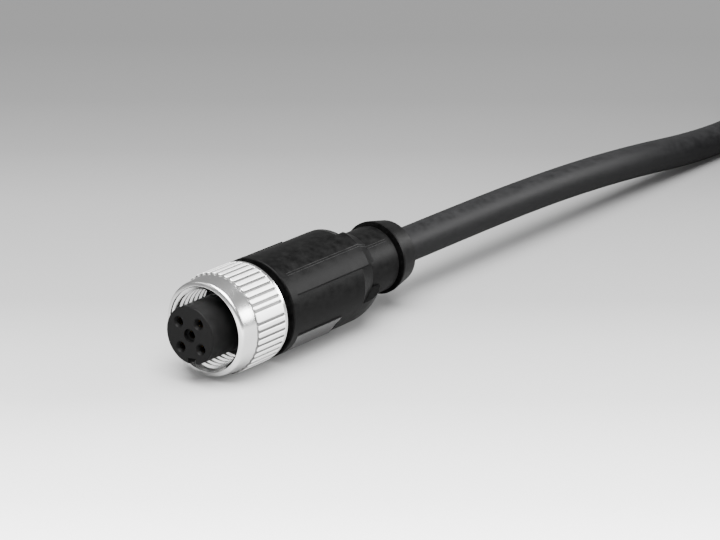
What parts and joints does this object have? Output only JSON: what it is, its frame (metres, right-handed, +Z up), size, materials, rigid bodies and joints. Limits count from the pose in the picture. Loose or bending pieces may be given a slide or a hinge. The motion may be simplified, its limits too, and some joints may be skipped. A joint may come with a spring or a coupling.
{
  "type": "cable connector",
  "caption": "Straight moulded female M12 sensor connector with a knurled coupling nut, a keyed contact insert, a strain-relieved grip body and a hanked lead with free ends.",
  "frame": {"origin": "centre of the coupling nut's mouth, on the mating axis", "axes": "+X along the mating axis towards the cable, +Z up, +Y to the left when seen from the mating face with the keyway below"},
  "size_m": [0.2468, 0.0533, 0.0278],
  "materials": {
    "plated_nut": "satin nickel plate",
    "carrier_plastic": "satin",
    "contact_metal": "gold plated",
    "seal_rubber": "smooth",
    "inner_plastic": "matt",
    "grip_plastic": "fine matt",
    "jacket": "matt",
    "tie_plastic": "satin",
    "insulation_brown": "satin",
    "insulation_white": "satin",
    "insulation_blue": "satin",
    "insulation_black": "satin",
    "insulation_grey": "satin"
  },
  "bodies": {
    "root": {"contact_carrier": "carrier_plastic", "grip_body": "grip_plastic", "inner_mould": "inner_plastic", "seal_ring": "seal_rubber", "cable_tube": "jacket", "cable_hank": "jacket", "hank_tie": "tie_plastic", "socket_contact_1": "contact_metal", "socket_contact_2": "contact_metal", "socket_contact_3": "contact_metal", "socket_contact_4": "contact_metal", "socket_contact_5": "contact_metal", "core_brown": "insulation_brown", "core_white": "insulation_white", "core_blue": "insulation_blue", "core_black": "insulation_black", "core_grey": "insulation_grey", "lead_brown": "insulation_brown", "lead_white": "insulation_white", "lead_blue": "insulation_blue", "lead_black": "insulation_black", "lead_grey": "insulation_grey"},
    "nut": {"coupling_nut": "plated_nut"}
  },
  "joints": [
    {"name": "nut_spin", "type": "hinge", "parent": "root", "child": "nut", "pos_m": [0, 0, 0], "axis": [-1, 0, 0], "continuous": true}
  ]
}
